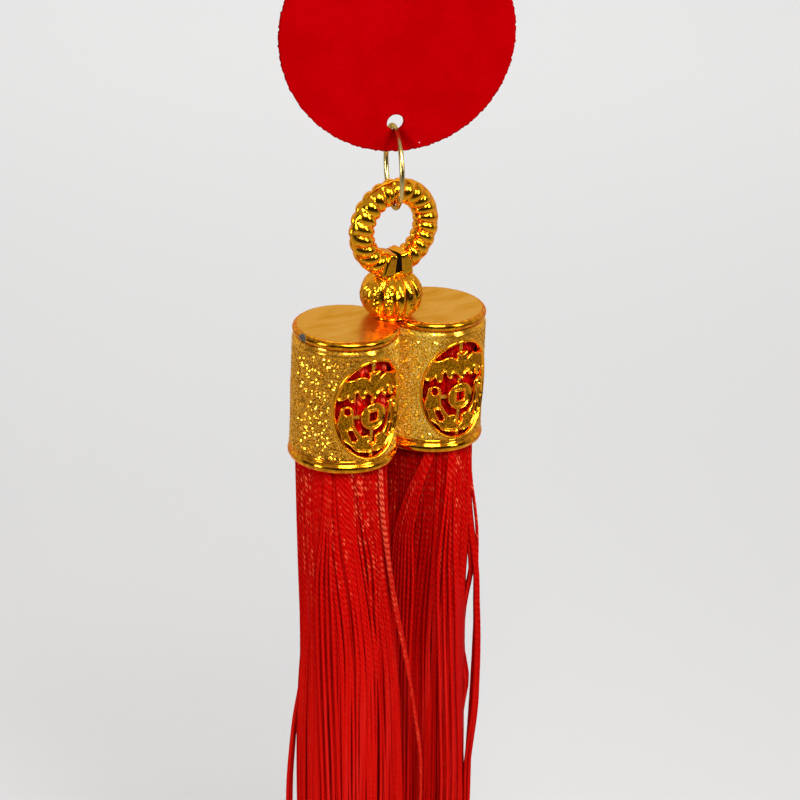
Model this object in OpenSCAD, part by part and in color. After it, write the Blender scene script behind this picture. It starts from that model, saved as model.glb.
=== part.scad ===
// Tassel pendant of a chinese knot, hanging from a flocked disc.
// Origin at the disc's upper hole, where the pendant is hung up. Z is up and the front faces -Y.

/* [Flocked disc] */
// Radius of the disc
disc_r = 27; // [22:0.5:32]
// Thickness of the disc
disc_t = 2; // [1.2:0.1:3]
// Radius of its two punched holes
hole_r = 2; // [1.6:0.1:2.5]
// Width of disc left outside each hole
hole_margin = 4.8; // [4:0.1:8]
// Sideways place of the disc's middle
disc_x = -0.8; // [-1:0.1:1]
// Sideways place of the lower hole
lower_hole_x = -0.65; // [-1:0.05:1]
// Turn of the disc and wire about the vertical, against the pendant
upper_turn = -22.6; // [-40:0.1:0]

/* [Wire ring] */
// Radius of the ring at the middle of its wire
wire_ring_r = 9.4; // [9:0.1:11]
// Thickness of the wire
wire_d = 1.15; // [0.8:0.05:1.4]
// Sideways lean of the ring in degrees
wire_lean = 1; // [0:0.5:3]
// Play between the wire and what it passes through
wire_play = 0.15; // [0.1:0.05:0.3]

/* [Ribbed ring] */
// Radius of the ring at the middle of its tube
ring_r = 8.8; // [8:0.1:10]
// Radius of the tube over its ribs
ring_tube_r = 3; // [2.5:0.1:3.2]
// Number of ribs
ring_ribs = 22; // [16:2:26]
// Width of the slit at the bottom of the ring
slit_w = 1.1; // [0.5:0.1:1.2]
// Width of the block on each side of the slit
block_w = 2.5; // [1.8:0.1:2.8]

/* [Fluted bead] */
// Radius of the bead over its lobes
bead_r = 7.45; // [6.5:0.05:8]
// Radius of the bead's curve up and down
bead_rise = 6.3; // [5.5:0.1:7]
// Number of lobes
bead_lobes = 14; // [10:2:16]

/* [Barrel cap] */
// Distance between the middles of the two barrels
barrel_pitch = 24.3; // [24:0.1:24.8]
// Height of the barrels
barrel_h = 32.8; // [31:0.2:36]
// Radius of the rim of the flat tops
top_rim_r = 12.5; // [12.3:0.1:12.6]
// Radius of the hammered wall
wall_r = 12.6; // [12.5:0.1:12.7]
// Radius of the bottom rim
bottom_rim_r = 12.9; // [12.7:0.1:13]
// Radius inside the barrels
bore_r = 11.2; // [10.8:0.1:11.3]

/* [Medallions] */
// Half width of the oval frame, seen from the front
oval_w = 9.1; // [8.5:0.1:9.5]
// Half height of the oval frame
oval_h = 12.7; // [12:0.1:12.8]
// Width of the raised line of the frame, seen from the front
oval_line = 0.75; // [0.6:0.05:1]
// Depth of the ovals' middles below the flat tops
oval_drop = 16.9; // [16.5:0.1:17.2]

/* [Tassels] */
// Length of the threads below the barrels
tassel_l = 200; // [120:5:260]
// Radius of the threads where they leave the barrel
tassel_r = 10.7; // [10:0.1:10.8]
// Radius that the hanging threads spread to
tassel_spread_r = 11.7; // [11:0.1:11.8]
// Sideways drift of the hanging threads for each millimetre down
tassel_drift = 0.04; // [0:0.005:0.06]
// Number of locks round a tassel
tassel_locks = 14; // [10:1:18]

/* [Hidden] */

fine = 96;
gold = "#D9971E";
wire_r = wire_d / 2;

// Heights, worked out downwards from the upper hole
hole_drop = disc_r - hole_margin - hole_r;
wire_top_z = -2 * hole_drop - hole_r + wire_r + wire_play;
wire_z = wire_top_z - wire_ring_r;
ring_top_z = wire_z - wire_ring_r + wire_r + wire_play + ring_tube_r;
ring_z = ring_top_z - ring_r;
bead_h = 11.2;
bead_mid_h = 5.2;
ring_above_plate = 21.6;
plate_z = ring_z - ring_above_plate;

// Closed solid through rings of points, capped at its ends or joined end to end
module skin(rings, joined = false) {
    n = len(rings[0]);
    m = len(rings);
    sides = [for (j = [0:joined ? m - 1 : m - 2], i = [0:n - 1])
        let (a = j * n, b = ((j + 1) % m) * n, k = (i + 1) % n)
        each [[a + i, b + i, b + k], [a + i, b + k, a + k]]];
    ends = joined ? [] : [[for (i = [0:n - 1]) i], [for (i = [n - 1:-1:0]) (m - 1) * n + i]];
    polyhedron([for (ring = rings) each ring], concat(sides, ends), convexity = 8);
}

// Disc and wire ring are turned together about the vertical
module upper() {
    rotate([0, 0, upper_turn]) children();
}

module plaque_disc() {
    color("#BE0009")
    upper()
    rotate([90, 0, 0])
    translate([0, 0, -disc_t / 2])
    difference() {
        translate([disc_x, -hole_drop, 0]) cylinder(h = disc_t, r = disc_r, $fn = fine);
        translate([0, 0, -1]) cylinder(h = disc_t + 2, r = hole_r, $fn = fine);
        translate([lower_hole_x, -2 * hole_drop, -1]) cylinder(h = disc_t + 2, r = hole_r, $fn = fine);
    }
}

module wire_ring() {
    color("#C9A24A")
    upper()
    translate([lower_hole_x, 0, wire_top_z])
    rotate([0, -wire_lean, 0])
    translate([0, 0, -wire_ring_r])
    rotate([0, 90, 0])
    rotate_extrude($fn = fine)
    translate([wire_ring_r, 0]) circle(r = wire_r, $fn = 24);
}

// Tube radius at an angle round the ring and an angle round the tube: rounded ribs, slanted like a rope's.
// The back's ribs lie half a rib on from the front's, as the two halves of the mould left them
rib_depth = 0.55;
rib_slant = 0.6;
function ribbed_r(turn, side) =
    ring_tube_r - rib_depth
    + rib_depth * abs(sin(ring_ribs / 2 * turn + rib_slant * side + (side < 180 ? 90 : 0)));

function ribbed_section(turn) = [for (side = [0:30:330])
    let (r = ribbed_r(turn, side), reach = ring_r + r * cos(side))
    [reach * cos(turn), r * sin(side), reach * sin(turn)]];

module ribbed_ring() {
    turn_step = 360 / (ring_ribs * 4);
    block_depth = 6;
    block_top = ring_r - ring_tube_r - 0.1;
    block_foot = ring_above_plate - bead_h;
    color(gold)
    translate([0, 0, ring_z])
    difference() {
        union() {
            skin([for (turn = [0:turn_step:360 - turn_step / 2]) ribbed_section(turn)], joined = true);
            translate([-block_w - slit_w / 2, -block_depth / 2, -block_foot])
                cube([2 * block_w + slit_w, block_depth, block_foot - block_top]);
        }
        translate([-slit_w / 2, -5, -block_foot - 1]) cube([slit_w, 10, block_foot + 3 - block_top]);
        translate([-6, -5, -block_foot - 3]) cube([12, 10, 3]);
    }
}

function lobe_r(round) = 1 - 0.1 * (1 - abs(cos(bead_lobes / 2 * round)));

function bead_section(h) = let (r = bead_r * sqrt(1 - pow((h - bead_mid_h) / bead_rise, 2)))
    [for (round = [0:360 / (bead_lobes * 4):359])
        r * lobe_r(round) * [cos(round), sin(round), 0] + [0, 0, h]];

module fluted_bead() {
    color(gold)
    translate([0, 0, plate_z])
    skin([for (h = [0, 1, 2.3, 3.8, 5.2, 6.8, 8.3, 9.6, 10.6, bead_h]) bead_section(h)]);
}

// Outline of one barrel from its axis outwards: plate, top rim, cove, wall, fillet and bottom rim
module barrel_outline() {
    top_bead = 1.08;
    bottom_bead = 1.3;
    fillet_bead = 0.4;
    core_r = wall_r - 0.55;
    cove_top = 2.1;
    cove_h = 1.5;
    wall_foot = 3.5;
    translate([0, -1.8]) square([top_rim_r - top_bead, 1.8]);
    translate([bore_r, -barrel_h + bottom_bead]) square([core_r - bore_r, barrel_h - bottom_bead - top_bead]);
    translate([top_rim_r - top_bead, -top_bead]) circle(r = top_bead, $fn = 32);
    polygon([[bore_r, -cove_top], [core_r, -cove_top], [wall_r - 0.25, -cove_top - 0.4 * cove_h],
        [wall_r, -cove_top - cove_h], [wall_r, -barrel_h + wall_foot], [bore_r, -barrel_h + wall_foot]]);
    translate([bottom_rim_r - 0.65, -barrel_h + 3.15]) circle(r = fillet_bead, $fn = 32);
    intersection() {
        translate([bore_r, -barrel_h - 1]) square(2 * bottom_bead + 1);
        translate([bottom_rim_r - bottom_bead, -barrel_h + bottom_bead]) circle(r = bottom_bead, $fn = 32);
    }
}

// Ovals are true on the unrolled wall, so their width is worked out round the barrel
module oval(shrink) {
    reach = asin(oval_w / wall_r) * (1 - shrink / oval_w);
    polygon([for (t = [0:9:359]) [wall_r * sin(reach * cos(t)), (oval_h - shrink * 1.3) * sin(t)]]);
}

// Pierced ornament: a bat over a coin with a square hole, between two ruyi clouds. Its strokes run through
// joints: the place of each beside and above the oval's middle, and the stroke's half width there. All but
// the body are drawn on the right and on the left
bat_body = [[0, 7.9, 1.25], [0, 5.2, 1.5], [0, 3.4, 0.8]];
bat_wing = [[0.4, 5.2, 1.5], [3.3, 6.9, 1.75], [6, 6.1, 1.7], [7.6, 3.6, 1]];
bat_points = [
    [[0.5, 8, 0.8], [1.2, 9.3, 0.45]],
    [[3.2, 6, 1.5], [2.9, 3.7, 0.7]],
    [[5.7, 5.4, 1.4], [5.3, 3, 0.7]]];
cloud_strokes = [
    [[6.3, 0.1, 1.5], [6.5, -3, 1.7], [5.4, -6, 1.9], [3, -8.4, 1.8], [1, -9.5, 1.2]],
    [[3, -8.4, 1.4], [1.9, -7.2, 1.3]]];
cloud_slots = [
    [[6.25, 0.5, 0.5], [6.15, -0.1, 0.55]],
    [[5.4, -5, 0.4], [4.6, -6.8, 0.5]]];
coin_r = 3.4;
coin_y = -1.6;
coin_hole = 2;

function drawn_in(half_w, inset) = half_w - min(inset, 0.7 * half_w);

module round(x, r) {
    translate([x, 0]) polygon([for (turn = [0:30:359]) r * [cos(turn), sin(turn)]]);
}

module stroke(joints, inset) {
    for (i = [0:len(joints) - 2]) {
        start = joints[i];
        way = joints[i + 1] - start;
        l = norm([way[0], way[1]]);
        start_r = drawn_in(start[2], inset);
        end_r = drawn_in(joints[i + 1][2], inset);
        translate([start[0], start[1]]) rotate([0, 0, atan2(way[1], way[0])]) {
            polygon([[0, start_r], [l, end_r], [l, -end_r], [0, -start_r]]);
            round(l, end_r);
            if (i == 0) round(0, start_r);
        }
    }
}

module both_sides(strokes, inset) {
    for (left = [0, 1], joints = strokes) mirror([left, 0, 0]) stroke(joints, inset);
}

// The ornament with its edges drawn in by inset, and the bat's points left out where it is inset
module ornament(inset) {
    stroke(bat_body, inset);
    both_sides(inset == 0 ? concat([bat_wing], bat_points) : [bat_wing], inset);
    difference() {
        translate([0, coin_y]) round(0, coin_r - inset);
        translate([0, coin_y]) square(coin_hole + 2 * inset, center = true);
    }
    difference() {
        both_sides(cloud_strokes, inset);
        both_sides(cloud_slots, -inset);
    }
}

// Short bars that tie the ornament to its frame
module ties() {
    tie_w = 0.84;
    translate([-7, coin_y - tie_w / 2]) square([14, tie_w]);
    translate([-tie_w / 2, -12.2]) square([tie_w, 15.4]);
    translate([-tie_w / 2, 7]) square([tie_w, 5.2]);
}

// Flat outline pushed through the front wall of a barrel
module through_front() {
    translate([0, 0, -oval_drop])
    rotate([90, 0, 0])
    linear_extrude(height = 15)
    children();
}

module shell(inner, outer) {
    translate([0, 0, -barrel_h + 1])
    difference() {
        cylinder(h = barrel_h - 2, r = outer, $fn = fine);
        translate([0, 0, -1]) cylinder(h = barrel_h, r = inner, $fn = fine);
    }
}

module medallion() {
    relief_r = wall_r + 0.35;
    face_r = wall_r - 0.15;
    tie_r = wall_r - 0.7;
    border = 0.55;
    intersection() {
        shell(bore_r + 0.4, relief_r);
        through_front() difference() {
            oval(0);
            oval(oval_line);
        }
    }
    difference() {
        intersection() {
            shell(bore_r + 0.4, relief_r);
            through_front() ornament(0);
        }
        intersection() {
            shell(face_r, relief_r + 1);
            through_front() ornament(border);
        }
    }
    intersection() {
        shell(bore_r + 0.2, tie_r);
        through_front() difference() {
            intersection() {
                ties();
                oval(0.3);
            }
            translate([0, coin_y]) square(coin_hole, center = true);
        }
    }
}

module barrel() {
    difference() {
        rotate_extrude($fn = fine) barrel_outline();
        for (back = [0, 1]) mirror([0, back, 0]) through_front() oval(oval_line / 2);
    }
    for (back = [0, 1]) mirror([0, back, 0]) medallion();
}

module barrel_cap() {
    color(gold)
    translate([0, 0, plate_z])
    for (side = [-1, 1]) translate([side * barrel_pitch / 2, 0, 0]) barrel();
}

// Threads in locks: the hanging bundle is one solid with the head in the barrel, and deepening grooves part
// it into locks. A place on it is given by the angle round the tassel and the part of the way down
function drift(depth) = [tassel_drift * depth, 0, 0];
function spread(part) = tassel_r + (tassel_spread_r - tassel_r) * min(1, 2.8 * part);
function lock_ridge(round) = abs(cos(tassel_locks / 2 * round));
function lock_l(round) = tassel_l * (0.985 + 0.015 * sin(3 * round + 40 * sin(2 * round)));

function lock_point(round, part, tuck) = let (
        ridge = lock_ridge(round),
        groove = (0.3 + 2.6 * part) * (1 - ridge),
        wave = 0.12 * sin(3 * round + 420 * part),
        reach = (spread(part) - groove + wave) * tuck,
        around = round + 4 * part * sin(2 * round + 250 * part),
        depth = lock_l(round) * part - 9 * pow(part, 6) * (1 - ridge))
    [reach * cos(around), reach * sin(around), -depth] + drift(depth);

module tassel(side) {
    head_r = bore_r - 0.3;
    head_top = barrel_h - 2.1;
    neck_h = 1.5;
    tip_l = tassel_l * 0.93;
    rounds = [for (i = [0:tassel_locks * 6 - 1]) i * 60 / tassel_locks];
    color("#B80D0A")
    translate([side * barrel_pitch / 2, 0, plate_z - barrel_h])
    skin([
        for (level = [[head_top, head_r - 0.8], [head_top - 0.8, head_r], [neck_h, head_r]])
            [for (round = rounds) [level[1] * cos(round), level[1] * sin(round), level[0]]],
        for (part = [0, 0.06, 0.14, 0.24, 0.36, 0.5, 0.64, 0.78, 0.9, 0.97])
            [for (round = rounds) lock_point(round, part, 1)],
        [for (round = rounds) lock_point(round, 1, 0.86)],
        [for (round = rounds) [5 * cos(round), 5 * sin(round), -tip_l] + drift(tip_l)]
    ]);
}

module tassel_left() {
    tassel(-1);
}

module tassel_right() {
    tassel(1);
}

plaque_disc();
wire_ring();
ribbed_ring();
fluted_bead();
barrel_cap();
tassel_left();
tassel_right();
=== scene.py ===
import functools
import math

import bmesh
import bpy
import numpy as np
from mathutils import Matrix, Vector


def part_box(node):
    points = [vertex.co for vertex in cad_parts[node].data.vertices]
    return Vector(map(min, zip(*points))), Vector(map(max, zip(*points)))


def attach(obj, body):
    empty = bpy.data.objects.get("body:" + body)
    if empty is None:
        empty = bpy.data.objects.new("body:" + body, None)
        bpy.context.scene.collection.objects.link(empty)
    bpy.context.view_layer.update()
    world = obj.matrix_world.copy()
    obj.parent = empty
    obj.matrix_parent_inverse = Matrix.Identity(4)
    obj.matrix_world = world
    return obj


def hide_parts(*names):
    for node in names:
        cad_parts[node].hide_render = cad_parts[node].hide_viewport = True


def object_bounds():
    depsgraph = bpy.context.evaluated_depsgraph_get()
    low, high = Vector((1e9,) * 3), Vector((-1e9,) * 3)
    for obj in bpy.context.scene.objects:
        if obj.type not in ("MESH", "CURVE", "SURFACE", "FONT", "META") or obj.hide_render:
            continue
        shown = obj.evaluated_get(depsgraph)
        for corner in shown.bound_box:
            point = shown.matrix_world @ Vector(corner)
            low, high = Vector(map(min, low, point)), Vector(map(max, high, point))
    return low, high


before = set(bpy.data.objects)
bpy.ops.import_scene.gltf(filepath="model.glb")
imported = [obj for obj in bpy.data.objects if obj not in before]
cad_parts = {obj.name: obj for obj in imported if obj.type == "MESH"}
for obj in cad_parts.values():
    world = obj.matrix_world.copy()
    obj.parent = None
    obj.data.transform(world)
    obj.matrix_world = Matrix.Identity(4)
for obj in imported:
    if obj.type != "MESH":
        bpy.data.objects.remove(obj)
cad_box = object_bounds()
mm = 0.001
rng = np.random.default_rng(7)

# The camera of the photograph: it looks down on the pendant from its left front, a little tilted, through
# a long lens. Its aim and distance were worked out from the ellipses of the barrels' rims.
cap_low, cap_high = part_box("barrel_cap")
plate_z = cap_high.z
azimuth, elevation, roll = (math.radians(a) for a in (-34.83, 23.57, 2.36))
distance = 0.655
focal_px = 2818
frame_px = 800
plates_at_px = (390.3, 313.9)

back = Vector((math.sin(azimuth) * math.cos(elevation), -math.cos(azimuth) * math.cos(elevation),
               math.sin(elevation)))
level_right = Vector((math.cos(azimuth), math.sin(azimuth), 0))
level_up = back.cross(level_right)
right = math.cos(roll) * level_right + math.sin(roll) * level_up
up = math.cos(roll) * level_up - math.sin(roll) * level_right
shift_right = (plates_at_px[0] - frame_px / 2) / focal_px * distance
shift_up = (frame_px / 2 - plates_at_px[1]) / focal_px * distance

camera_data = bpy.data.cameras.new("camera")
camera_data.sensor_width = 36
camera_data.lens = focal_px / frame_px * camera_data.sensor_width
camera_data.clip_start = 0.01
camera_data.clip_end = 20
camera = bpy.data.objects.new("camera", camera_data)
camera.matrix_world = Matrix.Translation(
    Vector((0, 0, plate_z)) + distance * back - shift_right * right - shift_up * up
) @ Matrix((right, up, back)).transposed().to_4x4()
bpy.context.scene.collection.objects.link(camera)
bpy.context.scene.camera = camera

# The studio: a floor under the tips of the tassels, large soft lamps and a pale room. Far in front of the
# pendant the floor and the room are dark at eye level, so that the gilding has a dark edge to mirror.
floor_gap = 0.02
floor_z = cad_box[0][2] - floor_gap
bpy.ops.mesh.primitive_plane_add(size=12, location=(0, 0, floor_z))
floor = bpy.context.object
floor.name = "floor"
pale_side = Vector((-back.x, -back.y, 0)).normalized()


lamp_spread = math.radians(100)


def lamp(name, place, aim, width, height, power):
    """White softbox that faces a point. Its size is in metres and its power in watts."""
    light = bpy.data.lights.new(name, "AREA")
    light.shape = "RECTANGLE"
    light.size, light.size_y = width, height
    light.energy = power
    light.spread = lamp_spread
    holder = bpy.data.objects.new(name, light)
    holder.location = place
    holder.rotation_euler = (Vector(aim) - Vector(place)).to_track_quat("-Z", "Y").to_euler()
    bpy.context.scene.collection.objects.link(holder)


cap_middle = Vector((0, 0, plate_z - 0.03))


def round_the_camera(turn, rise, far):
    """Point at this turn to the right of the camera and this rise above the pendant's middle."""
    heading = azimuth - math.pi / 2 + math.radians(turn)
    rise = math.radians(rise)
    return cap_middle + far * Vector((math.cos(heading) * math.cos(rise), math.sin(heading) * math.cos(rise),
                                      math.sin(rise)))


backdrop_middle = round_the_camera(180, 0, 1.45)
backdrop_middle.z = floor_z
lamp("key_softbox", round_the_camera(14, 47, 0.9), cap_middle, 0.4, 0.3, 2.4)
lamp("left_softbox", round_the_camera(-48, 10, 1.0), cap_middle, 0.22, 0.4, 1.3)
lamp("right_softbox", round_the_camera(60, 30, 1.0), cap_middle, 0.2, 0.5, 1.35)
lamp("backdrop_softbox", backdrop_middle + Vector((0, 0, 1.5)), backdrop_middle, 1.8, 1.8, 7)


class Shade:
    """A socket in a material. Sums and products of it add Math nodes; node() adds any other node."""

    def __init__(self, tree, socket=None):
        self.tree, self.socket = tree, socket

    def node(self, kind, settings=None, output=0, **values):
        made = self.tree.nodes.new(kind)
        for name, value in (settings or {}).items():
            setattr(made, name, value)
        for name, value in values.items():
            key = int(name[1:]) if name[0] == "_" else name.replace("_", " ")
            self.feed(made.inputs[key], value)
        return Shade(self.tree, made.outputs[output])

    def feed(self, target, value):
        if isinstance(value, Shade):
            self.tree.links.new(value.socket, target)
        elif isinstance(value, tuple) and len(value) == 3 and target.type == "RGBA":
            target.default_value = (*value, 1)
        else:
            target.default_value = value

    def math(self, operation, *values):
        return self.node("ShaderNodeMath", {"operation": operation},
                         **{f"_{i}": value for i, value in enumerate(values)})

    def __add__(self, other):
        return self.math("ADD", self, other)

    def __radd__(self, other):
        return self.math("ADD", other, self)

    def __sub__(self, other):
        return self.math("SUBTRACT", self, other)

    def __rsub__(self, other):
        return self.math("SUBTRACT", other, self)

    def __mul__(self, other):
        return self.math("MULTIPLY", self, other)

    def __rmul__(self, other):
        return self.math("MULTIPLY", other, self)

    def sin(self):
        return self.math("SINE", self)

    def absolute(self):
        return self.math("ABSOLUTE", self)

    def smooth(self, low, high):
        """0 at low and 1 at high, with a soft step between them. low may be the larger."""
        return self.node("ShaderNodeMapRange", {"interpolation_type": "SMOOTHSTEP"},
                         Value=self, From_Min=low, From_Max=high)

    def mix(self, other, share):
        """This colour where share is 0 and the other where it is 1."""
        return self.node("ShaderNodeMix", {"data_type": "RGBA"}, output=2, _0=share, _6=self, _7=other)


class Finish:
    """A material for one finish: its Principled shader, and the places and numbers that vary over it."""

    def __init__(self, name, **constants):
        self.material = bpy.data.materials.new(name)
        self.material.use_nodes = True
        self.shader = self.material.node_tree.nodes["Principled BSDF"]
        self.pen = Shade(self.material.node_tree)
        self.place = self.pen.node("ShaderNodeTexCoord", output="Object")
        self.set(**constants)

    def set(self, **values):
        for name, value in values.items():
            self.pen.feed(self.shader.inputs[name.replace("_", " ")], value)

    def noise(self, size, detail, vector=None):
        return self.pen.node("ShaderNodeTexNoise", output="Fac", Vector=vector or self.place,
                             Scale=1 / size, Detail=detail)

    def stretched(self, factors):
        return self.pen.node("ShaderNodeVectorMath", {"operation": "MULTIPLY"}, _0=self.place, _1=factors)

    def spot(self, point, size):
        """1 inside a ball about point, falling to 0 at its edge."""
        away = self.pen.node("ShaderNodeVectorMath", {"operation": "DISTANCE"}, output="Value",
                             _0=self.place, _1=tuple(point))
        return 1 - away.smooth(size * 0.8, size * 1.1)

    def band(self, start, end, width):
        """1 along the line from start to end, fading out over width on both sides and at its end."""
        way = Vector(end) - Vector(start)
        off = self.pen.node("ShaderNodeVectorMath", {"operation": "SUBTRACT"}, _0=self.place, _1=tuple(start))
        share = self.pen.node("ShaderNodeVectorMath", {"operation": "DOT_PRODUCT"}, output="Value",
                              _0=off, _1=tuple(way / way.length_squared))
        share = self.pen.node("ShaderNodeClamp", Value=share)
        along = self.pen.node("ShaderNodeVectorMath", {"operation": "SCALE"}, _0=tuple(way), Scale=share)
        away = self.pen.node("ShaderNodeVectorMath", {"operation": "DISTANCE"}, output="Value",
                             _0=off, _1=along)
        return (1 - away.smooth(0.1 * width, width)) * (1 - share * 0.5)

    def colour(self, red_green_blue):
        return self.pen.node("ShaderNodeCombineColor", Red=red_green_blue[0], Green=red_green_blue[1],
                             Blue=red_green_blue[2])

    def bump(self, height, strength, depth):
        self.set(Normal=self.pen.node("ShaderNodeBump", Height=height, Strength=strength, Distance=depth))


floor_paint = Finish("floor_paint", Roughness=0.9, Specular_IOR_Level=0.2)
behind = floor_paint.pen.node("ShaderNodeVectorMath", {"operation": "DOT_PRODUCT"}, output="Value",
                              _0=floor_paint.place, _1=tuple(pale_side))
away = floor_paint.pen.node("ShaderNodeVectorMath", {"operation": "LENGTH"}, output="Value",
                            _0=floor_paint.place)
front_grey = (0.42, 0.42, 0.42)
far_front_grey = (0.04, 0.04, 0.04)
backdrop_grey = (0.6, 0.594, 0.59)
far_backdrop_grey = (0.78, 0.773, 0.769)
floor_paint.set(Base_Color=floor_paint.colour(front_grey).mix(far_front_grey, away.smooth(0.9, 1.6))
                .mix(backdrop_grey, behind.smooth(-0.1, 0.12))
                .mix(far_backdrop_grey, behind.smooth(0.0, 1.1)))
floor.data.materials.append(floor_paint.material)

world = bpy.data.worlds.new("room")
bpy.context.scene.world = world
world.use_nodes = True
room = Shade(world.node_tree)
look = room.node("ShaderNodeTexCoord", output="Generated")


def towards(direction):
    """How far the room is seen in this direction, from -1 to 1."""
    return room.node("ShaderNodeVectorMath", {"operation": "DOT_PRODUCT"}, output="Value", _0=look,
                     _1=tuple(direction))


dark_band = towards(pale_side).smooth(0.1, -0.2) * (towards((0, 0, 1)) - 0.1).absolute().smooth(0.38, 0.22)
pale = towards(pale_side - 0.55 * Vector((0, 0, 1))).smooth(-0.35, 0.6)
room_light = world.node_tree.nodes["Background"]
room_light.inputs["Color"].default_value = (1, 1, 1, 1)
room.feed(room_light.inputs["Strength"], (0.4 + 0.4 * pale) * (1 - 0.93 * dark_band))
bpy.context.scene.view_settings.view_transform = "Standard"


# The disc: stiff board with red flock on both faces and over the cut edge, which the die left a little
# ragged. Two punched holes lie near its rim. Everything below hangs from the lower one.
def pierced_plate(inside, span, step, outer, inner, place):
    """Closed plate where inside(u, v) is below zero. outer and inner give the heights of its two faces from
    u, v and the distance to the edge, and place turns u, v and a height into a point."""
    u_low, u_high, v_low, v_high = span
    us = np.linspace(u_low, u_high, round((u_high - u_low) / step) + 1)
    vs = np.linspace(v_low, v_high, round((v_high - v_low) / step) + 1)
    u_grid, v_grid = np.meshgrid(us, vs, indexing="ij")
    field = inside(u_grid, v_grid)
    hair = 1e-7
    field[np.abs(field) < hair] = -hair
    points, index, faces = [], {}, []

    def corner(i, j):
        if (i, j) not in index:
            index[i, j] = len(points)
            points.append((us[i], vs[j], -field[i, j]))
        return index[i, j]

    def crossing(a, b):
        key = (a, b) if a < b else (b, a)
        if key not in index:
            share = field[key[0]] / (field[key[0]] - field[key[1]])
            u, v = ((1 - share) * grid[key[0]] + share * grid[key[1]] for grid in (u_grid, v_grid))
            index[key] = len(points)
            points.append((u, v, 0.0))
        return index[key]

    full = (field[:-1, :-1] < 0) | (field[1:, :-1] < 0) | (field[:-1, 1:] < 0) | (field[1:, 1:] < 0)
    for i, j in np.argwhere(full):
        ring = ((i, j), (i + 1, j), (i + 1, j + 1), (i, j + 1))
        face = []
        for a, b in zip(ring, ring[1:] + ring[:1]):
            if field[a] < 0:
                face.append(corner(*a))
            if (field[a] < 0) != (field[b] < 0):
                face.append(crossing(a, b))
        faces.append(face)
    u, v, depth = np.array(points).T
    count = len(points)
    upper, lower = place(u, v, outer(u, v, depth)), place(u, v, inner(u, v, depth))
    ways = {(a, b) for face in faces for a, b in zip(face, face[1:] + face[:1])}
    rims = [(a, b, b + count, a + count)[::-1] for a, b in ways if (b, a) not in ways]
    faces += [[i + count for i in face[::-1]] for face in faces]
    return np.concatenate([upper, lower]), faces + rims, np.concatenate([depth, depth])


def solid(name, points, faces, finish, face=None):
    """Closed mesh in one finish. face marks its points for the finish, from 0 to 1."""
    mesh = bpy.data.meshes.new(name)
    mesh.from_pydata([tuple(p) for p in points], [], faces)
    if face is not None:
        mesh.attributes.new("face", "FLOAT", "POINT").data.foreach_set("value", face.astype(np.float32))
    mesh.validate()
    work = bmesh.new()
    work.from_mesh(mesh)
    bmesh.ops.recalc_face_normals(work, faces=work.faces)
    work.to_mesh(mesh)
    work.free()
    mesh.polygons.foreach_set("use_smooth", [True] * len(mesh.polygons))
    mesh.materials.append(finish.material)
    piece = bpy.data.objects.new(name, mesh)
    bpy.context.scene.collection.objects.link(piece)
    return piece


def sharpen(piece, degrees):
    """Keeps edges steeper than this crisp."""
    piece.data.set_sharp_from_angle(angle=math.radians(degrees))


upper_turn = math.radians(-22.6)
disc_r = 27 * mm
disc_t = 2 * mm
disc_x = -0.8 * mm
hole_r = 2 * mm
hole_drop = 20.2 * mm
lower_hole_x = -0.65 * mm
fray = 0.1 * mm
disc_step = 0.4 * mm
disc_along = np.array((math.cos(upper_turn), math.sin(upper_turn), 0))
disc_out = np.array((math.sin(upper_turn), -math.cos(upper_turn), 0))


def disc_outline(u, v):
    """Below zero on the board, inside its frayed rim and outside its two holes."""
    angle = np.arctan2(v + hole_drop, u - disc_x)
    ragged = sum(size * np.sin(count * angle + turn) for size, count, turn in
                 ((0.04, 31, 0.4), (0.06, 67, 2.0), (0.06, 113, 5.1), (0.055, 151, 1.3), (0.045, 199, 4.0)))
    rim = np.hypot(u - disc_x, v + hole_drop) - disc_r + fray + ragged * mm
    upper_hole = hole_r - np.hypot(u, v)
    lower_hole = hole_r - np.hypot(u - lower_hole_x, v + 2 * hole_drop)
    return np.maximum(rim, np.maximum(upper_hole, lower_hole))


def flock_face(u, v, depth):
    """Height of a face above the disc's middle, rounded off towards the edge."""
    edge = 0.16 * mm
    crown = np.sqrt(np.clip(1 - (1 - np.clip(depth / edge, 0, 1)) ** 2, 0, 1))
    return disc_t / 2 - edge * (1 - crown)


def on_disc(u, v, height):
    return u[:, None] * disc_along + v[:, None] * (0, 0, 1) + height[:, None] * disc_out


def on_front(u, v):
    """Point on the front face of the disc."""
    return u * disc_along + v * np.array((0, 0, 1)) + disc_t / 2 * disc_out


flock = Finish("red_flock", Roughness=0.9, Specular_IOR_Level=0.0, Sheen_Weight=0.06, Sheen_Roughness=0.4,
               Sheen_Tint=(1.0, 0.02, 0.03, 1))
pile = flock.noise(0.35 * mm, 3)
nap = flock.noise(9 * mm, 2)
# Painted shadow: two soft dark bands run down from the lower hole, as the side lamps would cast the wire
# ring.
painted_wire_shadows = sum(flock.band(on_front(*start), on_front(*end), width) for start, end, width in
             (((-1.2 * mm, -42.4 * mm), (-3.2 * mm, -47.2 * mm), 1.3 * mm),
              ((0.6 * mm, -43.0 * mm), (3.6 * mm, -46.4 * mm), 1.8 * mm)))
dust = flock.spot(on_front(4.95 * mm, -45.1 * mm), 0.15 * mm)
flock.set(Base_Color=flock.colour((0.34, 0.0, 0.001)).mix((0.38, 0.0, 0.0015), nap.smooth(0.35, 0.65))
          .mix((0.26, 0.0, 0.0), (1 - pile.smooth(0.3, 0.5)) * 0.5).mix((0.12, 0.0, 0.0), painted_wire_shadows * 0.8)
          .mix((0.62, 0.4, 0.4), dust))
flock.bump(pile, 0.5, 0.15 * mm)
disc_span = (disc_x - disc_r, disc_x + disc_r, -disc_r - hole_drop, disc_r - hole_drop)
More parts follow.
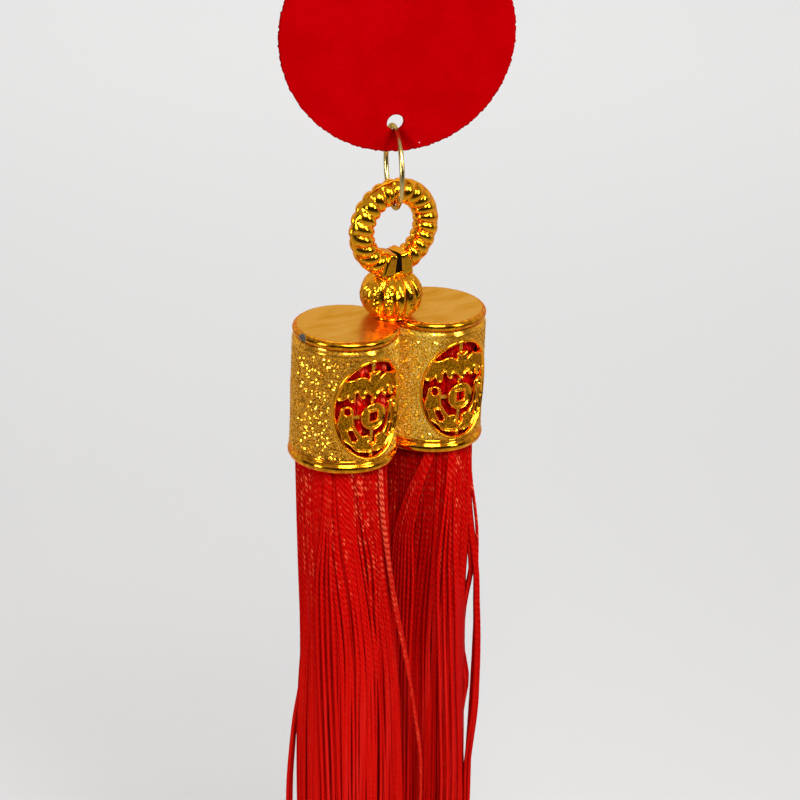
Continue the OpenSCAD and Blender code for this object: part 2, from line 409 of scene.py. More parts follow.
points, faces, _ = pierced_plate(disc_outline, disc_span, disc_step, flock_face,
                                 lambda u, v, depth: -flock_face(u, v, depth), on_disc)
disc = solid("flocked_disc", points, faces, flock)
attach(disc, "disc")
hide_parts("plaque_disc")


# The wire ring: a round ring of drawn brass wire. It passes through the disc's lower hole and carries the
# ribbed ring. It is paler and duller than the gilding, with fine marks from the drawing die.
def wrapped(points, closed_down=False):
    """Faces between rows of points that close round; with closed_down the last row meets the first."""
    rows, count = points.shape[:2]
    index = np.arange(rows * count).reshape(rows, count)
    below = np.roll(index, -1, 0) if closed_down else index[1:]
    above = index if closed_down else index[:-1]
    quads = np.stack([above, np.roll(above, -1, 1), np.roll(below, -1, 1), below], -1).reshape(-1, 4)
    return [tuple(int(i) for i in quad) for quad in quads]


def ends(points):
    """Faces that close the first and the last row of points."""
    rows, count = points.shape[:2]
    return [tuple(range(count))[::-1], tuple(range((rows - 1) * count, rows * count))]


wire_r = 0.575 * mm
wire_ring_r = 9.4 * mm
wire_lean = math.radians(1)
wire_play = 0.15 * mm
wire_steps, wire_sides = 128, 14
wire_top = lower_hole_x * disc_along + np.array((0, 0, -2 * hole_drop - hole_r + wire_r + wire_play))
turn, side = np.meshgrid(np.linspace(0, 2 * np.pi, wire_steps, endpoint=False),
                         np.linspace(0, 2 * np.pi, wire_sides, endpoint=False), indexing="ij")
reach = wire_ring_r + wire_r * np.cos(side)
down = np.array((0, 0, -1)) * math.cos(wire_lean) + disc_along * math.sin(wire_lean)
across = disc_along * math.cos(wire_lean) + np.array((0, 0, 1)) * math.sin(wire_lean)
wire_points = (wire_top + wire_ring_r * down - (reach * np.cos(turn))[..., None] * down
               + (reach * np.sin(turn))[..., None] * disc_out + (wire_r * np.sin(side))[..., None] * across)
brass = Finish("brass_wire", Metallic=1.0, Specular_Tint=(0.55, 0.4, 0.2, 1))
tarnish = brass.noise(2.5 * mm, 3)
brass.set(Base_Color=brass.colour((0.76, 0.56, 0.22)).mix((0.5, 0.33, 0.1), tarnish.smooth(0.45, 0.7)),
          Roughness=0.16 + 0.16 * tarnish)
brass.bump(brass.noise(0.12 * mm, 2), 0.15, 0.03 * mm)
wire = solid("wire_ring", wire_points.reshape(-1, 3), wrapped(wire_points, closed_down=True), brass)
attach(wire, "wire")
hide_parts("wire_ring")


# The ribbed ring: a gilded casting like a short piece of rope bent round, from a mould in two halves that
# part at its middle plane. Its ends are square, plain and polished, with a slit between them. The two
# end faces across the slit are painted near black, as painted shade of the deep slit.
def ease(values):
    """Smooth step from 0 to 1."""
    values = np.clip(values, 0, 1)
    return values * values * (3 - 2 * values)


_, ring_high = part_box("ribbed_ring")
ring_tube_r = 3.0 * mm
ring_r = 8.8 * mm
ring_z = ring_high.z - ring_tube_r - ring_r
ribs = 22
rib_depth = 0.55 * mm
rib_slant = 0.6
steps_per_rib = 18
slit_taper = 0.75
parting_depth, parting_w = 0.25 * mm, 0.16 * mm


def gilding(name):
    """Thin gold plating under clear lacquer, which adds pale highlights."""
    gold = Finish(name, Metallic=1.0, Specular_Tint=(1.0, 0.5, 0.12, 1), Coat_Weight=0.2, Coat_Roughness=0.06)
    smear = gold.noise(6 * mm, 3)
    tint = gold.noise(3 * mm, 2)
    gold.base = gold.colour((0.95, 0.41, 0.006)).mix((0.9, 0.31, 0.002), tint.smooth(0.4, 0.75))
    gold.set(Base_Color=gold.base, Roughness=0.09 + 0.12 * smear.smooth(0.35, 0.75))
    return gold


polished = gilding("polished_gilding")
polished.bump(polished.noise(1.4 * mm, 2), 0.1, 0.06 * mm)
# Painted shade: the end faces in the slit are near black, standing in for the shade deep in the slit.
painted_slit_shade = Finish("painted_slit_shadow", Roughness=0.8, Specular_IOR_Level=0.1)
painted_slit_shade.set(Base_Color=painted_slit_shade.colour((0.012, 0.005, 0.001)))
slit_w, leg_w = 1.1 * mm, 2.5 * mm
slit_turn = math.degrees(math.asin(slit_w / 2 / (ring_r - ring_tube_r)))
leg_turn = math.degrees(math.asin((slit_w / 2 + leg_w) / ring_r))
share, side = np.meshgrid(np.linspace(0, 1, ribs * steps_per_rib), np.radians(np.arange(0, 360, 5)),
                          indexing="ij")
half_slit = slit_turn * (1 - slit_taper * ease(0.5 + np.sin(side)))
turn = np.radians(half_slit - 90 + (360 - 2 * half_slit) * share)
front_half = side > math.pi
phase = ribs / 2 * turn + rib_slant * side + np.where(front_half, 0, math.pi / 2)
from_bottom = np.abs((np.degrees(turn) + 90 + 180) % 360 - 180)
off_parting = np.abs(np.sin(side))
outer = np.cos(side) > 0
flange = np.where(outer & front_half, 0.08 + 0.92 * ease((off_parting - 0.28) / 0.3), 1)
rib = (1 - np.abs(np.sin(phase)) ** 0.7) * rib_depth * flange * ease((from_bottom - leg_turn) / 6)
parting = parting_depth * np.exp(-(np.sin(side) * ring_tube_r / parting_w) ** 2) * outer
squareness = 2 + 7 * ease((leg_turn + 1.5 - from_bottom) / 2.5)
section = (np.abs(np.cos(side)) ** squareness + np.abs(np.sin(side)) ** squareness) ** (-1 / squareness)
tube = ring_tube_r * section - rib - parting
tube *= 1 - 0.04 * (1 - ease((from_bottom - slit_turn) / 1.2))
tube -= rng.uniform(0, 0.05, tube.shape) * mm * ease((leg_turn - from_bottom) / 3)
reach = ring_r + tube * np.cos(side)
ring_points = np.stack([reach * np.cos(turn), tube * np.sin(side), ring_z + reach * np.sin(turn)], -1)
ring = solid("ribbed_ring", ring_points.reshape(-1, 3), wrapped(ring_points) + ends(ring_points), polished)
sharpen(ring, 55)
ring.data.materials.append(painted_slit_shade.material)
for end_face in ring.data.polygons[-2:]:
    end_face.material_index = 1
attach(ring, "pendant")
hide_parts("ribbed_ring")


# The fluted bead: a hollow gilded melon bead under the ring, with a small hoop above and below. Fine dents
# frost the middle of its lobes, which are polished towards the grooves between them.
bead_low, bead_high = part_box("fluted_bead")
bead_r = (bead_high.x - bead_low.x) / 2
bead_rise = 6.3 * mm
bead_mid_z = bead_low.z + 5.2 * mm
lobes = 14
hoop_w, hoop_t = 0.4 * mm, 0.3 * mm
heights = np.linspace(bead_low.z, bead_high.z, 49)
around, height = np.meshgrid(np.linspace(0, 2 * np.pi, lobes * 16, endpoint=False), heights)
lobe_phase = lobes / 2 * around
profile = np.sqrt(1 - ((height - bead_mid_z) / bead_rise) ** 2)
near_parting = np.clip((np.abs(np.sin(around)) - 0.15) / 0.45, 0, 1)
groove = (0.025 + 0.1 * near_parting) * (1 - np.abs(np.cos(lobe_phase)))
crest = ease((np.abs(np.cos(lobe_phase)) - 0.5) / 0.2) * ease((np.sin(2.3 * around + 0.6) + 1.1) / 0.3)
reach = bead_r * profile * (1 - groove) - rng.uniform(0, 0.22, around.shape) * mm * crest * profile
bead_points = np.stack([reach * np.cos(around), reach * np.sin(around), height], -1)
frosted = gilding("bead_gilding")
bead = solid("fluted_bead", bead_points.reshape(-1, 3), wrapped(bead_points) + ends(bead_points), frosted)
sharpen(bead, 14)
for name, hoop_r, hoop_z in (("bead_foot", 4.35 * mm, bead_low.z + 0.3 * mm),
                             ("bead_collar", 2.7 * mm, bead_high.z - 0.1 * mm)):
    turn, side = np.meshgrid(np.linspace(0, 2 * np.pi, 72, endpoint=False),
                             np.linspace(0, 2 * np.pi, 12, endpoint=False), indexing="ij")
    reach = hoop_r + hoop_w * np.cos(side)
    hoop_points = np.stack([reach * np.cos(turn), reach * np.sin(turn), hoop_z + hoop_t * np.sin(side)], -1)
    hoop = solid(name, hoop_points.reshape(-1, 3), wrapped(hoop_points, closed_down=True), polished)
    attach(hoop, "pendant")
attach(bead, "pendant")
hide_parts("fluted_bead")


# The barrel cap: two barrels cast side by side and gilded. Each has a satin top plate inside a polished
# bead, a hammered wall that starts in a plain cove, and a fillet and a heavy bead round its open bottom.
barrel_h = cap_high.z - cap_low.z
wall_r = 12.6 * mm
top_rim_r = 12.5 * mm
bottom_rim_r = 12.9 * mm
bore_r = 11.2 * mm
barrel_x = (cap_high.x - cap_low.x) / 2 - bottom_rim_r
wall_top, wall_bottom = -2.1 * mm, -barrel_h + 3.6 * mm
plate_r, plate_t = 11.46 * mm, 0.9 * mm
axis_r = 0.01 * mm


def arc(r, z, size, start, end, steps=9):
    """Points of an outline on an arc about (r, z), from start to end in degrees."""
    angles = np.radians(np.linspace(start, end, steps))
    return [(r + size * math.cos(a), z + size * math.sin(a)) for a in angles]


def turned(name, outline, centre_x, finish, steps=160):
    """Ring turned round a barrel's axis from a closed outline of (radius, height below the plates)."""
    r, z = np.array(outline).T
    angles = np.linspace(0, 2 * np.pi, steps, endpoint=False)
    points = np.stack([centre_x + r[:, None] * np.cos(angles), r[:, None] * np.sin(angles),
                       plate_z + z[:, None] + 0 * angles], -1)
    return solid(name, points.reshape(-1, 3), wrapped(points, closed_down=True), finish)


top_outline = (
    [(11.3 * mm, wall_top), (11.3 * mm, -0.04 * mm), (11.4 * mm, -0.01 * mm)]
    + arc(top_rim_r - 1.08 * mm, -1.08 * mm, 1.08 * mm, 84, -66) + [(11.8 * mm, wall_top)])
bottom_outline = (
    [(bore_r, wall_bottom + 0.2 * mm), (wall_r - 0.12 * mm, wall_bottom + 0.2 * mm),
     (wall_r - 0.2 * mm, wall_bottom + 0.05 * mm)]
    + arc(bottom_rim_r - 0.65 * mm, -barrel_h + 3.15 * mm, 0.4 * mm, 70, -60)
    + [(12.15 * mm, -barrel_h + 2.7 * mm)]
    + arc(bottom_rim_r - 1.3 * mm, -barrel_h + 1.3 * mm, 1.3 * mm, 66, -100)
    + [(bore_r, -barrel_h + 0.25 * mm)])
chip_turn = math.radians(183)
rim_gold = gilding("rim_gilding")
chip = rim_gold.spot((-barrel_x + top_rim_r * math.cos(chip_turn), top_rim_r * math.sin(chip_turn),
                      plate_z - 1.2 * mm), 1.4 * mm)
rim_gold.set(Base_Color=rim_gold.base.mix((0.62, 0.19, 0.001), rim_gold.noise(1.1 * mm, 3).smooth(0.35, 0.6))
             .mix((0.05, 0.05, 0.05), chip), Metallic=1 - chip, Coat_Weight=0.2 * (1 - chip))
satin = Finish("satin_gilding", Metallic=1.0, Specular_Tint=(1.0, 0.7, 0.35, 1))
streaks = satin.noise(3 * mm, 4, satin.stretched((0.3, 1.0, 1.0)))
satin.set(Base_Color=satin.colour((0.8, 0.42, 0.1)).mix((0.68, 0.3, 0.045), streaks.smooth(0.35, 0.7)),
          Roughness=0.22 + 0.14 * streaks)
satin.bump(satin.noise(0.25 * mm, 3), 0.12, 0.03 * mm)
# Painted light and shade: between the barrels the hammered gilding is painted paler and less like a mirror,
# and painted sparkle highlights are scattered over it, brighter there. Darker noise spots are painted
# shade in the hammer pits.
hammered = gilding("hammered_gilding")
painted_pit_shade = hammered.noise(0.28 * mm, 1)
beside = hammered.pen.node("ShaderNodeSeparateXYZ", output="X", Vector=hammered.place).absolute()
hollow = 1 - beside.smooth(4.5 * mm, 9 * mm)
crests = hammered.colour((1.0, 0.45, 0.024)).mix((1.0, 0.62, 0.045), hollow)
# Painted sparkle highlights.
painted_sparkles = hammered.noise(0.42 * mm, 1).smooth(0.6, 0.68)
hammered.set(Base_Color=hammered.colour((0.4, 0.11, 0.001)).mix(crests, painted_pit_shade.smooth(0.36, 0.58))
             .mix((1.0, 0.85, 0.3), painted_sparkles * (0.3 + 0.7 * hollow)),
             Metallic=0.86 - 0.26 * hollow, Roughness=0.3, Coat_Weight=0.0, Specular_Tint=(1.0, 0.88, 0.5, 1))
chased = gilding("chased_gilding")
face_mark = chased.pen.node("ShaderNodeAttribute", {"attribute_name": "face"}, output="Fac")
sand = chased.noise(0.34 * mm, 1).smooth(0.36, 0.6)
chased.set(Base_Color=chased.colour((0.98, 0.38, 0.01)).mix(
    chased.colour((0.16, 0.05, 0.0005)).mix((0.66, 0.27, 0.006), sand), face_mark),
           Roughness=0.12 + 0.2 * face_mark, Metallic=1 - 0.12 * face_mark, Coat_Weight=0.2 - 0.2 * face_mark)
oval_reach = 10.17 * mm
oval_h = 12.7 * mm
oval_z = -16.9 * mm
oval_line = 0.95 * mm
tie_w = 0.84 * mm
medallion_span = (-10.6 * mm, 10.6 * mm, oval_z - 13 * mm, oval_z + 13 * mm)
ornament_span = (-10.6 * mm, 10.6 * mm, oval_z - 11.6 * mm, oval_z + 11.6 * mm)
wall_step, frame_step, ornament_step = 0.28 * mm, 0.22 * mm, 0.13 * mm


def oval(u, v):
    """Distance outside the medallion's oval on the unrolled wall."""
    stretch = np.hypot(u / oval_reach, (v - oval_z) / oval_h) + 1e-9
    slope = np.hypot(u / oval_reach ** 2, (v - oval_z) / oval_h ** 2) / stretch
    return (stretch - 1) / slope


def melt(a, b, softness=0.5 * mm):
    """The nearer of two shapes, with a soft fillet where they meet."""
    share = np.clip(0.5 + 0.5 * (b - a) / softness, 0, 1)
    return b * (1 - share) + a * share - softness * share * (1 - share)


def stroke(x, z, joints):
    """Distance outside a stroke through joints of place beside and above the oval's middle and half width."""
    shape = None
    for start, end in zip(joints, joints[1:]):
        (from_x, from_z, from_w), (to_x, to_z, to_w) = np.array((start, end)) * mm
        way_x, way_z = to_x - from_x, to_z - from_z
        off_x, off_z = x - from_x, z - oval_z - from_z
        share = np.clip((off_x * way_x + off_z * way_z) / (way_x ** 2 + way_z ** 2), 0, 1)
        part = np.hypot(off_x - share * way_x, off_z - share * way_z) - from_w - share * (to_w - from_w)
        shape = part if shape is None else melt(shape, part)
    return shape


bat_strokes = (
    ((0, 7.9, 1.25), (0, 5.2, 1.5), (0, 3.4, 0.8)),
    ((0.5, 8.0, 0.8), (1.2, 9.3, 0.45)),
    ((0.4, 5.2, 1.5), (3.3, 6.9, 1.75), (6.0, 6.1, 1.7), (7.6, 3.6, 1.0)),
    ((3.2, 6.0, 1.5), (2.9, 3.7, 0.7)),
    ((5.7, 5.4, 1.4), (5.3, 3.0, 0.7)))
cloud_strokes = (
    ((6.3, 0.1, 1.5), (6.5, -3.0, 1.7), (5.4, -6.0, 1.9), (3.0, -8.4, 1.8), (1.0, -9.5, 1.2)),
    ((3.0, -8.4, 1.4), (1.9, -7.2, 1.3)))
cloud_slots = (
    ((6.25, 0.5, 0.5), (6.15, -0.1, 0.55)),
    ((5.4, -5.0, 0.4), (4.6, -6.8, 0.5)))
coin_z, coin_r, coin_hole = oval_z - 1.6 * mm, 3.4 * mm, 1.0 * mm


def in_coin_hole(x, z):
    return coin_hole - np.maximum(np.abs(x), np.abs(z - coin_z))


def ornament(u, v):
    """A bat over a coin with a square hole, between two ruyi clouds."""
    x = np.abs(wall_r * np.sin(u / wall_r))
    bat = functools.reduce(melt, [stroke(x, v, joints) for joints in bat_strokes])
    clouds = functools.reduce(melt, [stroke(x, v, joints) for joints in cloud_strokes])
    slots = np.minimum.reduce([stroke(x, v, joints) for joints in cloud_slots])
    coin = np.maximum(np.hypot(x, v - coin_z) - coin_r, in_coin_hole(x, v))
    return np.minimum(bat, np.minimum(coin, np.maximum(clouds, -slots)))


def ties(u, v):
    """Thin bars behind the ornament that hold it in its frame."""
    x = wall_r * np.sin(u / wall_r)
    level_bar = np.maximum(np.abs(v - coin_z) - tie_w / 2, np.abs(x) - 7 * mm)
    upright = np.maximum(np.abs(x) - tie_w / 2, (v - oval_z - 3.2 * mm) * (oval_z + 7 * mm - v) / (2 * mm))
    bars = np.maximum(np.minimum(level_bar, upright), oval(u, v) + 0.3 * mm)
    return np.maximum(bars, in_coin_hole(x, v))


def wall_field(u, v):
    """Below zero on the wall, outside the medallion."""
    return -oval(u, v) - 0.5 * oval_line


def relief(face, border, border_w, dent=0.0):
    """Outer surface of a cast island: a polished border raised above its face, which is dented by dent."""
    def surface(u, v, depth):
        bead_share = np.sin(math.pi * np.clip(depth / border_w, 0, 1))
        side_drop = 0.3 * mm * np.clip(1 - depth / (0.25 * border_w), 0, 1) ** 2
        pitted = rng.uniform(0, dent, len(u)) * ease((depth - border_w) / (0.2 * mm))
        return face + border * np.abs(bead_share) ** 0.8 * (depth < border_w) - side_drop - pitted
    return surface


quarter = math.pi / 2 * wall_r


def hammered_wall(u, v, depth):
    """Outer surface of the wall: a cove under the rim, then hammer dents, and a line where the mould
    parted."""
    cove = 0.55 * mm * (1 - ease((wall_top - v) / (1.8 * mm))) ** 2
    seam = 0.12 * mm * np.exp(-((quarter - np.abs(u)) / (0.2 * mm)) ** 2)
    grain = ease((-3.2 * mm - v) / (1.4 * mm)) * ease((v - wall_bottom) / (0.6 * mm))
    grain *= ease((oval(u, v) - 0.3 * mm) / (0.8 * mm))
    return wall_r - cove - seam - rng.uniform(0, 0.3, len(u)) * mm * grain


def level(radius):
    """Surface that keeps one radius."""
    return lambda u, v, depth: radius + 0 * u


frame_bead = relief(wall_r, 0.38 * mm, oval_line)
raised_ornament = relief(wall_r - 0.15 * mm, 0.45 * mm, 0.62 * mm, 0.11 * mm)
for barrel, centre_x in (("left", -barrel_x), ("right", barrel_x)):
    pieces = [turned(f"top_rim_{barrel}", top_outline, centre_x, rim_gold),
              turned(f"bottom_rim_{barrel}", bottom_outline, centre_x, rim_gold),
              turned(f"top_plate_{barrel}", [(axis_r, -plate_t), (axis_r, 0), (plate_r, 0),
                                             (plate_r, -plate_t)], centre_x, satin)]
    for way, facing in (("front", 1), ("back", -1)):
        def on_barrel(u, v, height):
            angle = u / wall_r
            return np.stack([centre_x + facing * height * np.sin(angle), -facing * height * np.cos(angle),
                             plate_z + v], -1)

        for name, field, step, outer, inner, finish, span in (
                ("wall", wall_field, wall_step, hammered_wall, level(bore_r + 0.1 * mm), hammered,
                 (-quarter, quarter, wall_bottom, wall_top)),
                ("oval_frame", lambda u, v: np.maximum(oval(u, v), -oval_line - oval(u, v)), frame_step,
                 frame_bead, level(bore_r + 0.4 * mm), polished, medallion_span),
                ("ties", ties, frame_step, level(wall_r - 0.7 * mm), level(bore_r + 0.2 * mm), hammered,
                 medallion_span),
                ("ornament", ornament, ornament_step, raised_ornament, level(bore_r + 0.4 * mm), chased,
                 ornament_span)):
            points, faces, depth = pierced_plate(field, span, step, outer, inner, on_barrel)
            piece = solid(f"{name}_{way}_{barrel}", points, faces, finish,
                          face=ease((depth - 0.5 * mm) / (0.15 * mm)))
            sharpen(piece, 9 if name == "wall" else 50)
            pieces.append(piece)
    for piece in pieces:
        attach(piece, "pendant")
        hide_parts("barrel_cap")
        if "plate" in piece.name:
            sharpen(piece, 40)


# The tassels: silky red thread, twisted from two plies, folded over a cord inside each barrel. The heads
# fill the barrels and show red through the medallions. Below, the threads hang free and part into locks.
thread_r = 0.42 * mm
tassel_l = 200 * mm
head_l = barrel_h - 2.4 * mm
drift = 0.04
twist_pitch = 3.3 * mm
thread_sides = 6
locks = 14
silk = Finish("red_silk", Roughness=0.42, Specular_IOR_Level=0.0, Specular_Tint=(1.0, 0.3, 0.2, 1))
thread_uv = silk.pen.node("ShaderNodeUVMap", {"uv_map": "UVMap"})
round_thread = silk.pen.node("ShaderNodeSeparateXYZ", Vector=thread_uv)
down_thread = silk.pen.node("ShaderNodeSeparateXYZ", output="Y", Vector=thread_uv)
lustre = silk.pen.node("ShaderNodeAttribute", {"attribute_name": "lustre"}, output="Fac")
ply = (2 * math.pi * (2 * round_thread + down_thread * (2 / twist_pitch) + 7 * lustre)).sin()
slack = down_thread.smooth(head_l + 20 * mm, head_l + 80 * mm)
ridge = ply.smooth(-0.9, 0.7)
sparks = silk.noise(1.1 * mm, 2, silk.stretched((1, 1, 0.45))).smooth(0.5, 0.62)
folds = silk.noise(3.2 * mm, 2, silk.stretched((1, 1, 0.05)))
bright_strand = lustre.smooth(1.0, 1.2)
near_rim = 1 - down_thread.smooth(head_l + 5 * mm, head_l + 42 * mm)
sparkling = (41 * lustre).sin().smooth(0.7, 0.97)
dark_tone_and_painted_shade = lustre.smooth(0.35, 0.0) * (0.6 - 0.25 * slack)
fold_shade = folds.smooth(0.46, 0.34) * slack * 0.25
fold_light = folds.smooth(0.54, 0.66) * slack * 0.8
glint = ridge * sparks * ((0.1 + 0.9 * sparkling) * (0.05 + 0.95 * near_rim) * (1 - bright_strand)
                          + bright_strand * (0.25 + 0.5 * near_rim))
# Painted light in the silk's colour: the ply ridges are painted lighter as a highlight, glint paints salmon
# highlights on the twist, mostly near the rim, and fold_shade and fold_light paint broad shade and light down
# the locks. The bright strand is a painted highlight, strongest near the rim. Threads of low tone are darker,
# and part of that tone is painted shade. Further down all threads are lighter.
silk.set(Base_Color=silk.colour((0.42, 0.0005, 0.0005)).mix((0.53, 0.005, 0.003), ridge + 0.7 * slack)
         .mix((0.22, 0.0, 0.0), dark_tone_and_painted_shade + fold_shade)
         .mix((0.58, 0.01, 0.007), fold_light).mix((1.0, 0.15, 0.06), glint)
         .mix((0.95, 0.17, 0.08), bright_strand * (0.03 + 0.5 * near_rim * ridge)),
         Metallic=glint * 0.35)
silk.bump(ply * (1 - 0.85 * slack), 0.5, 0.1 * mm)
core_silk = Finish("silk_core", Roughness=0.8, Specular_IOR_Level=0.1)
core_silk.set(Base_Color=core_silk.colour((0.36, 0.0, 0.0)).mix((0.56, 0.001, 0.0), core_silk.noise(
    0.6 * mm, 2, core_silk.stretched((1, 1, 0.05)))))


def sweep_tree():
    """Geometry nodes that turn chains of edges into round threads and unroll their skin into the UV map."""
    tree = bpy.data.node_groups.new("spin_threads", "GeometryNodeTree")
    tree.interface.new_socket("Geometry", in_out="INPUT", socket_type="NodeSocketGeometry")
    tree.interface.new_socket("Thread radius", in_out="INPUT", socket_type="NodeSocketFloat")
    tree.interface.new_socket("Sides", in_out="INPUT", socket_type="NodeSocketInt")
    tree.interface.new_socket("Finish", in_out="INPUT", socket_type="NodeSocketMaterial")
    tree.interface.new_socket("Geometry", in_out="OUTPUT", socket_type="NodeSocketGeometry")

    def add(kind, settings=None, **values):
        made = tree.nodes.new(kind)
        for name, value in (settings or {}).items():
            setattr(made, name, value)
        for name, value in values.items():
            key = int(name[1:]) if name[0] == "_" else name.replace("_", " ")
            if isinstance(value, bpy.types.NodeSocket):
                tree.links.new(value, made.inputs[key])
            else:
                made.inputs[key].default_value = value
        return made

    def captured(geometry, domain, name, value):
        """Geometry that carries this value along, and the value."""
        holder = tree.nodes.new("GeometryNodeCaptureAttribute")
        holder.domain = domain
        holder.capture_items.new("FLOAT", name)
        tree.links.new(geometry, holder.inputs["Geometry"])
        tree.links.new(value, holder.inputs[name])
        return holder.outputs["Geometry"], holder.outputs[name]

    given = tree.nodes.new("NodeGroupInput")
    chains = add("GeometryNodeMeshToCurve", Mesh=given.outputs["Geometry"])
    width = add("GeometryNodeInputNamedAttribute", Name="width")
    chains = add("GeometryNodeSetCurveRadius", Curve=chains.outputs["Curve"],
                 Radius=width.outputs["Attribute"])
    threads, along = captured(chains.outputs["Curve"], "POINT", "along",
                              add("GeometryNodeSplineParameter").outputs["Length"])
    section = add("GeometryNodeCurveArc", _0=given.outputs["Sides"], Radius=given.outputs["Thread radius"],
                  Sweep_Angle=2 * math.pi)
    section, round_value = captured(section.outputs["Curve"], "POINT", "round",
                                    add("GeometryNodeSplineParameter").outputs["Factor"])
    swept = add("GeometryNodeCurveToMesh", Curve=threads, Profile_Curve=section)
    unrolled = add("ShaderNodeCombineXYZ", X=round_value, Y=along)
    mapped = add("GeometryNodeStoreNamedAttribute", {"data_type": "FLOAT2", "domain": "CORNER"},
                 Geometry=swept.outputs["Mesh"], Name="UVMap", Value=unrolled.outputs["Vector"])
    joined = add("GeometryNodeMergeByDistance", Geometry=mapped.outputs["Geometry"], Distance=0.005 * mm)
    real = add("GeometryNodeRealizeInstances", Geometry=joined.outputs["Geometry"])
    smooth = add("GeometryNodeSetShadeSmooth", Geometry=real.outputs["Geometry"])
    finished = add("GeometryNodeSetMaterial", Geometry=smooth.outputs["Geometry"],
                   Material=given.outputs["Finish"])
    result = tree.nodes.new("NodeGroupOutput")
    tree.links.new(finished.outputs["Geometry"], result.inputs["Geometry"])
    return tree


spin_threads = sweep_tree()


def spun(name, paths, tones, widths, finish):
    """Mesh of threads along these paths. Each thread's tone, from 0 to 1, is kept as its lustre, and its
    width is a share of the full thread."""
    count = len(paths[0])
    index = np.arange(len(paths) * count).reshape(-1, count)
    chains = bpy.data.meshes.new(name)
    chains.from_pydata(np.concatenate(paths).tolist(),
                       np.stack([index[:, :-1], index[:, 1:]], -1).reshape(-1, 2).tolist(), [])
    for name_of_values, values in (("lustre", tones), ("width", widths)):
        held = chains.attributes.new(name_of_values, "FLOAT", "POINT")
        held.data.foreach_set("value", np.repeat(values, count).astype(np.float32))
    source = bpy.data.objects.new(name + "_chains", chains)
    bpy.context.scene.collection.objects.link(source)
    modifier = source.modifiers.new("spin", "NODES")
    modifier.node_group = spin_threads
    for socket, value in (("Thread radius", thread_r), ("Sides", thread_sides),
                          ("Finish", finish.material)):
        modifier[spin_threads.interface.items_tree[socket].identifier] = value
    evaluated = source.evaluated_get(bpy.context.evaluated_depsgraph_get())
    mesh = bpy.data.meshes.new_from_object(evaluated)
    bpy.data.objects.remove(source)
    piece = bpy.data.objects.new(name, mesh)
    bpy.context.scene.collection.objects.link(piece)
    return piece


fall = np.concatenate([np.linspace(-head_l, -2 * mm, 5), tassel_l * np.linspace(0, 1, 60) ** 1.15])
hang = np.maximum(fall, 0)


def thread(centre_x, turn, radius, length_share):
    """Path of one thread: turn and radius about the tassel's middle line, at each fall below the rim. Only
    the part below the rim is shortened by its share."""
    end = fall * np.where(fall > 0, length_share, 1)
    return np.stack([centre_x + radius * np.cos(turn) + drift * hang, radius * np.sin(turn),
                     plate_z - barrel_h - end], -1)


def layer(centre_x, count, head_r, gather, flow):
    """Threads side by side round the head. Further down they lean and gather into locks, swell on one side
    and draw in where the loose threads leave them."""
    lock_turn = math.radians(flow["first_lock"]) + np.arange(locks) * 2 * np.pi / locks
    lock_turn += rng.uniform(-0.05, 0.05, locks)
    lock_depth = rng.uniform(0.6, 1.3, locks)
    lock_lean = rng.normal(0, 0.05, locks)
    lock_tone = rng.uniform(0.1, 0.9, locks)
    opened = ease(hang / (40 * mm))
    low = hang / tassel_l
    paths, tones = [], []
    for i in range(count):
        start = 2 * np.pi * (i + rng.uniform(-0.4, 0.4)) / count
        gaps = (start - lock_turn + np.pi) % (2 * np.pi) - np.pi
        near = np.argmin(np.abs(gaps))
        share = abs(gaps[near]) / (np.pi / locks)
        lean = flow["lean"] * math.cos(start - math.radians(flow["lean_turn"])) + lock_lean[near]
        turn = (start - gaps[near] * gather * opened * (1 - 0.5 * low) * lock_depth[near]
                + lean * ease(hang / (55 * mm)) + rng.normal(0, 0.025) * opened + rng.normal(0, 0.03) * low
                + 0.03 * opened * np.sin(low * rng.uniform(5, 13) + rng.uniform(0, 2 * np.pi)))
        swell = 1.0 * mm * ease(hang / (75 * mm)) - 0.25 * mm * ease(hang / (4 * mm))
        tuck = (0.22 + 0.3 * low) * mm * share ** 2 * opened * lock_depth[near]
        side = np.maximum(np.cos(turn - math.radians(flow["swell_turn"])), 0) ** 2
        swell = swell + flow["swell"] * side * ease(hang / (95 * mm))
        off_fall = (hang - flow["thin_at"]) / flow["thin_over"]
        leaving = np.exp(2 * np.cos(turn - math.radians(flow["thin_turn"])) - 2 - off_fall ** 2)
        wave = 0.12 * mm * opened * np.sin(low * rng.uniform(6, 16) + rng.uniform(0, 2 * np.pi))
        radius = (head_r + swell - tuck - flow["thin"] * leaving + wave
                  + rng.uniform(-0.17, 0.03) * mm * ease(hang / (15 * mm)))
        paths.append(thread(centre_x, turn, radius, 1 - 0.035 * rng.random() ** 2))
        # Painted shade: threads facing shade_turn get a darker tone, where this tassel lies in the other's
        # shade.
        shade = flow["shade"] * max(math.cos(start - math.radians(flow["shade_turn"])), 0) ** 8
        tones.append(max(0.45 * lock_tone[near] + 0.55 * rng.random() - shade, 0))
    return paths, tones


def loose(centre_x, keys, turn_spread, reach_spread, count):
    """Loose threads through keys of fall and reach in millimetres and turn in degrees, from the middle line.
    They start together and stand apart by the two spreads further down."""
    falls, turns, reaches = np.array(keys).T
    soften = np.hanning(5) / np.hanning(5).sum()
    paths = []
    for i in range(count):
        apart = 2 * i / max(count - 1, 1) - 1
        split = 0.3 + 0.7 * ease(hang / (40 * mm))
        turn = np.interp(hang / mm, falls, turns) + apart * turn_spread * split
        reach = (np.interp(hang / mm, falls, reaches) + rng.uniform(-1, 1) * reach_spread * split
                 + 0.2 * np.sin(hang / mm * rng.uniform(0.04, 0.1) + rng.uniform(0, 6)))
        turn, reach = (np.convolve(np.pad(values, 2, "edge"), soften, "valid") for values in (turn, reach))
        paths.append(thread(centre_x, np.radians(turn), reach * mm, 1 - 0.03 * rng.random()))
    return paths


